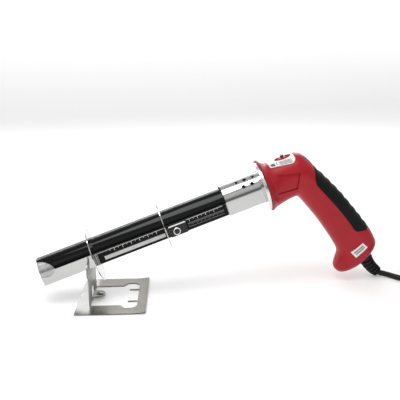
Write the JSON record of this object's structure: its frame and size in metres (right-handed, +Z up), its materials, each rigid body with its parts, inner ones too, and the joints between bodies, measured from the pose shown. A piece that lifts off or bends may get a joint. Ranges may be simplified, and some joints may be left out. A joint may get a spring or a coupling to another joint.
{
  "type": "corded hot-air charcoal lighter",
  "caption": "Corded hot-air charcoal lighter: long polished open-bottomed nozzle with two guard discs on a folded sheet stand, red moulded handle with ribbed rubber grip",
  "frame": {"origin": "middle of the stand's fold line, on the surface that the tool rests on", "axes": "+X from the muzzle towards the handle, +Y to the side away from the printed scale, +Z up"},
  "size_m": [0.6102, 0.1289, 0.1623],
  "materials": {
    "mirror_steel": "mirror-polished stainless sheet",
    "clamp_steel": "bright folded and plated steel",
    "satin_steel": "satin stainless disc",
    "tube_steel": "heat-tinted steel tube",
    "stand_sheet": "bright cold-rolled sheet",
    "printed_film": "printed polyester film",
    "red_plastic": "glossy moulded red nylon",
    "grip_rubber": "soft ribbed thermoplastic rubber",
    "black_plastic": "matt black moulding",
    "black_rubber": "black moulded rubber",
    "cord_black": "round black rubber cord",
    "plug_black": "black moulded PVC",
    "nickel": "nickel-plated brass pins",
    "mica": "mica sheet",
    "ceramic": "white steatite ceramic",
    "heater_wire": "resistance wire",
    "motor_steel": "plated motor steel",
    "copper": "enamelled copper windings",
    "magnet": "ferrite",
    "board_green": "glass-fibre board"
  },
  "bodies": {
    "tool": {"nozzle_shield": "mirror_steel", "perforated_sleeve": "mirror_steel", "sleeve_packing_front": "mica", "sleeve_packing_rear": "mica", "front_guard_disc": "mirror_steel", "scale_label": "printed_film", "hot_air_tube": "tube_steel", "mica_sleeve": "mica", "tube_spacers": "tube_steel", "heater_former": "ceramic", "heating_coil": "heater_wire", "heater_end_plates": "mica", "thermal_fuse": "motor_steel", "front_collar": "satin_steel", "heat_gasket": "black_rubber", "fan_shroud": "black_plastic", "motor_can": "motor_steel", "motor_magnets": "magnet", "motor_end_cap": "black_plastic", "motor_mount": "black_plastic", "butt_sticker": "printed_film", "housing_left": "red_plastic", "housing_right": "red_plastic", "grip_pad_left": "grip_rubber", "grip_pad_right": "grip_rubber", "rear_intake_grille": "black_plastic", "top_label": "printed_film", "switch_bezel": "black_plastic", "switch_body": "black_plastic", "rectifier_board": "board_green", "board_components": "black_plastic", "wiring_loom": "black_rubber", "cord_clamp": "black_plastic", "housing_screws": "motor_steel", "cord_boot": "black_rubber", "mains_cord": "cord_black", "cord_coil": "cord_black", "cord_tail": "cord_black", "coil_tie": "black_plastic", "plug_body": "plug_black", "plug_pins": "nickel"},
    "guard": {"rear_guard_disc": "mirror_steel", "guard_clamp": "clamp_steel"},
    "clamp_knob": {"clamp_screw": "clamp_steel"},
    "rotor": {"fan_impeller": "black_plastic", "motor_shaft": "motor_steel", "motor_armature": "copper"},
    "rocker": {"switch_rocker": "black_plastic"},
    "stand": {"stand": "stand_sheet"}
  },
  "joints": [
    {"name": "stand_release", "type": "slide", "parent": "tool", "child": "stand", "axis": [0, 0, -1], "range_m": [0, 0.05]},
    {"name": "guard_slide", "type": "slide", "parent": "tool", "child": "guard", "axis": [0.9464, 0, 0.3231], "range_m": [-0.07, 0.048]},
    {"name": "clamp_turn", "type": "hinge", "parent": "guard", "child": "clamp_knob", "pos_m": [0.09698, 0, 0.08216], "axis": [0, -1, 0], "range_deg": [0, 180]},
    {"name": "rotor_spin", "type": "hinge", "parent": "tool", "child": "rotor", "pos_m": [0.20785, 0, 0.12698], "axis": [0.9464, 0, 0.3231], "continuous": true},
    {"name": "rocker_tilt", "type": "hinge", "parent": "tool", "child": "rocker", "pos_m": [0.22601, 0, 0.15115], "axis": [0, 1, 0], "range_deg": [-8, 8]}
  ]
}
